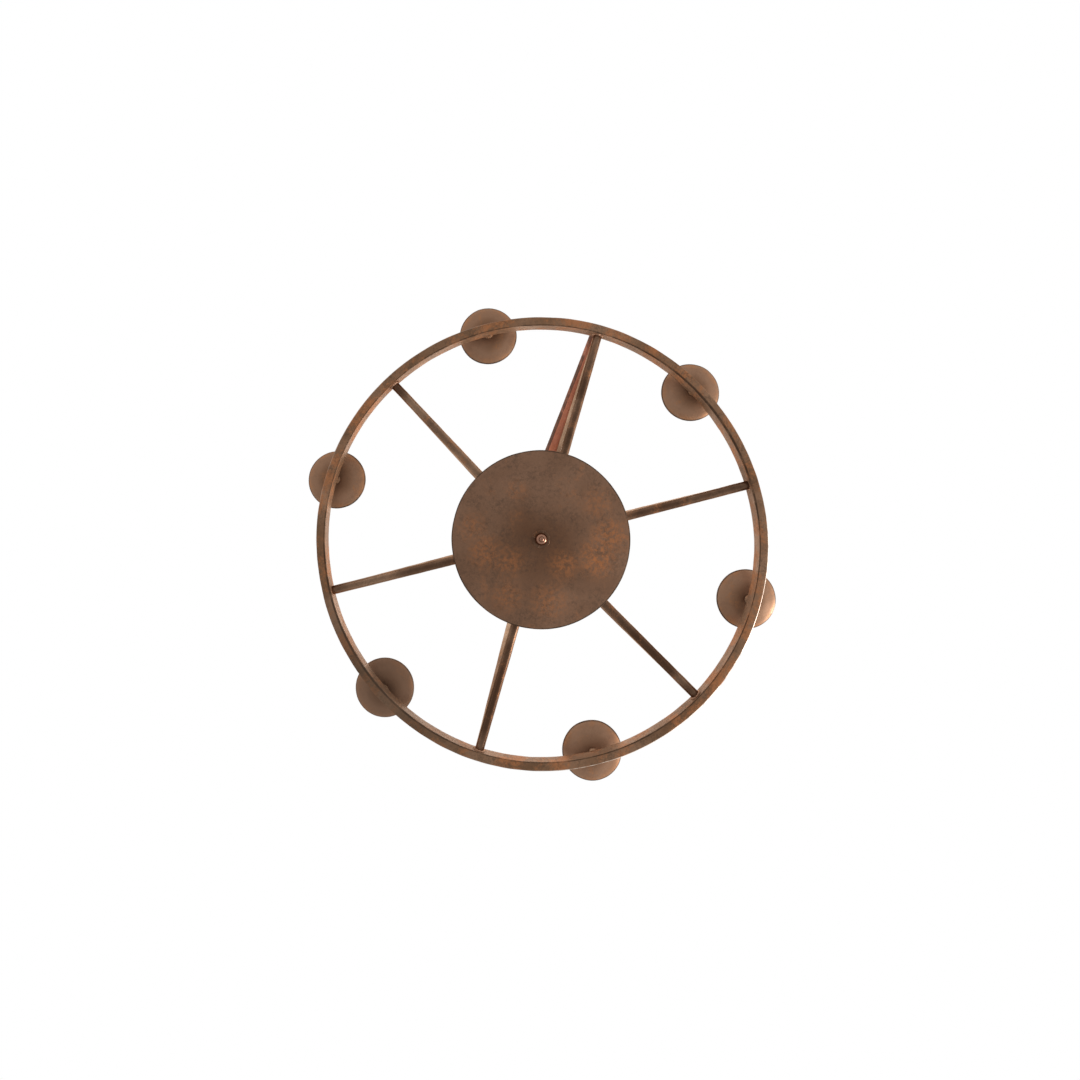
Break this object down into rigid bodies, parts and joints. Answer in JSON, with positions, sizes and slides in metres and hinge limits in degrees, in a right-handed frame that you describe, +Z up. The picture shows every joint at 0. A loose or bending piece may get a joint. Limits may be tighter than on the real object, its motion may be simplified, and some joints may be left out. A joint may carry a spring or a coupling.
{
  "type": "candle ring chandelier",
  "caption": "Round candle chandelier: a steel ring hung on sloping stays, with candle cups on drip pans and a dished plate below its hub.",
  "frame": {"origin": "where a ceiling hook bears on the inside of the hanging ring, at its top", "axes": "+Z up, +X along the first arm, which is the one with the strip on its stay; the candles stand midway between the arms"},
  "size_m": [0.61, 0.6804, 0.4676],
  "materials": {
    "ring_finish": "rust-brown patina over steel, satin, lighter on the lit edges",
    "bar_finish": "rust-brown patina over round steel bar, satin",
    "strip_finish": "lighter copper-red patina over thin sheet",
    "plate_finish": "mottled brown patina with rust-orange patches, satin",
    "pan_finish": "smooth rust-brown patina, satin sheen",
    "finial_finish": "dark bronzed brass, polished on the ball",
    "fastener_finish": "plain zinc-plated steel"
  },
  "bodies": {
    "hanger": {"hanging_ring": "bar_finish"},
    "chandelier": {"ring": "ring_finish", "level_bar_1": "bar_finish", "level_bar_2": "bar_finish", "level_bar_3": "bar_finish", "level_bar_4": "bar_finish", "level_bar_5": "bar_finish", "level_bar_6": "bar_finish", "stay_1": "bar_finish", "stay_2": "bar_finish", "stay_3": "bar_finish", "stay_4": "bar_finish", "stay_5": "bar_finish", "stay_6": "bar_finish", "stay_strip": "strip_finish", "hub": "bar_finish", "top_collar": "bar_finish", "column_tube": "bar_finish", "threaded_rod": "fastener_finish", "top_washer": "fastener_finish", "lock_nut": "fastener_finish", "plate_spacer": "bar_finish", "bottom_plate": "plate_finish", "finial_washer": "bar_finish", "stem_1": "bar_finish", "stem_2": "bar_finish", "stem_3": "bar_finish", "stem_4": "bar_finish", "stem_5": "bar_finish", "stem_6": "bar_finish", "pan_1": "pan_finish", "pan_2": "pan_finish", "pan_3": "pan_finish", "pan_4": "pan_finish", "pan_5": "pan_finish", "pan_6": "pan_finish", "candle_cup_1": "pan_finish", "candle_cup_2": "pan_finish", "candle_cup_3": "pan_finish", "candle_cup_4": "pan_finish", "candle_cup_5": "pan_finish", "candle_cup_6": "pan_finish", "cup_screw_1": "fastener_finish", "cup_screw_2": "fastener_finish", "cup_screw_3": "fastener_finish", "cup_screw_4": "fastener_finish", "cup_screw_5": "fastener_finish", "cup_screw_6": "fastener_finish", "hanging_loop": "bar_finish"},
    "finial": {"finial": "finial_finish"}
  },
  "joints": [
    {"name": "swing", "type": "hinge", "parent": "hanger", "child": "chandelier", "pos_m": [0, 0, -0.047], "axis": [1, 0, 0], "range_deg": [-45, 45]},
    {"name": "finial_turn", "type": "hinge", "parent": "chandelier", "child": "finial", "pos_m": [0, 0, -0.4388], "axis": [0, 0, 1], "continuous": true}
  ]
}
